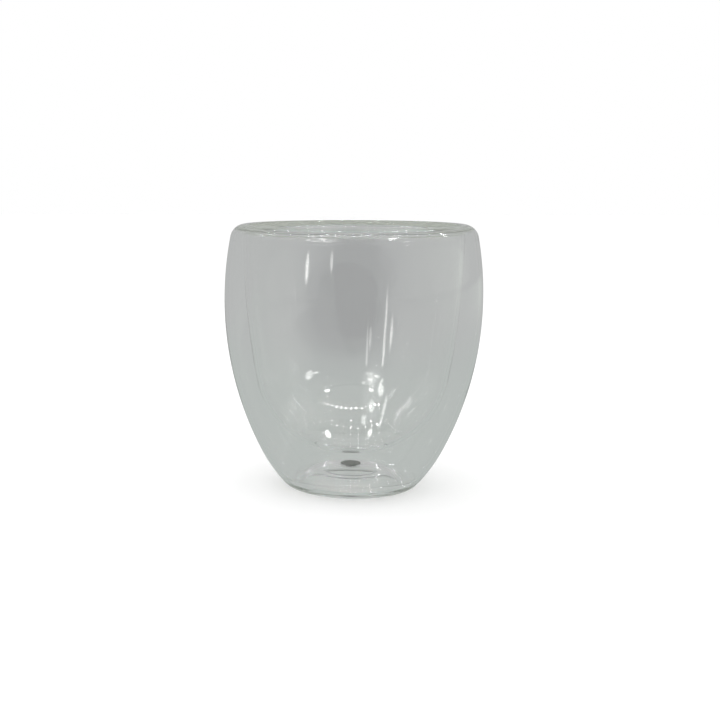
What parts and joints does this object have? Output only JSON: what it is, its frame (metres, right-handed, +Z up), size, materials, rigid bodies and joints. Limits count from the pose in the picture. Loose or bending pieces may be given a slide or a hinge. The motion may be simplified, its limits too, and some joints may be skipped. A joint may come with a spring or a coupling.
{
  "type": "double walled glass cup",
  "caption": "Stemless drinking cup of clear glass, with an inner bowl hung inside an outer glass, the walls melted together at the lip and an air gap sealed between them.",
  "frame": {"origin": "middle of the standing ring, on the table", "axes": "+Z up along the cup's axis of revolution, X and Y level and alike, because the cup is round"},
  "size_m": [0.085, 0.085, 0.0874],
  "materials": {
    "base_glass": "clear, flame polished",
    "outer_glass": "clear, flame polished",
    "inner_glass": "clear, flame polished",
    "lip_glass": "clear, flame polished, faintly green where it is thick",
    "seal": "smooth, dark grey"
  },
  "bodies": {
    "root": {"base": "base_glass", "outer_shell": "outer_glass", "inner_bowl": "inner_glass", "rim": "lip_glass", "vent_plug": "seal"}
  },
  "joints": []
}
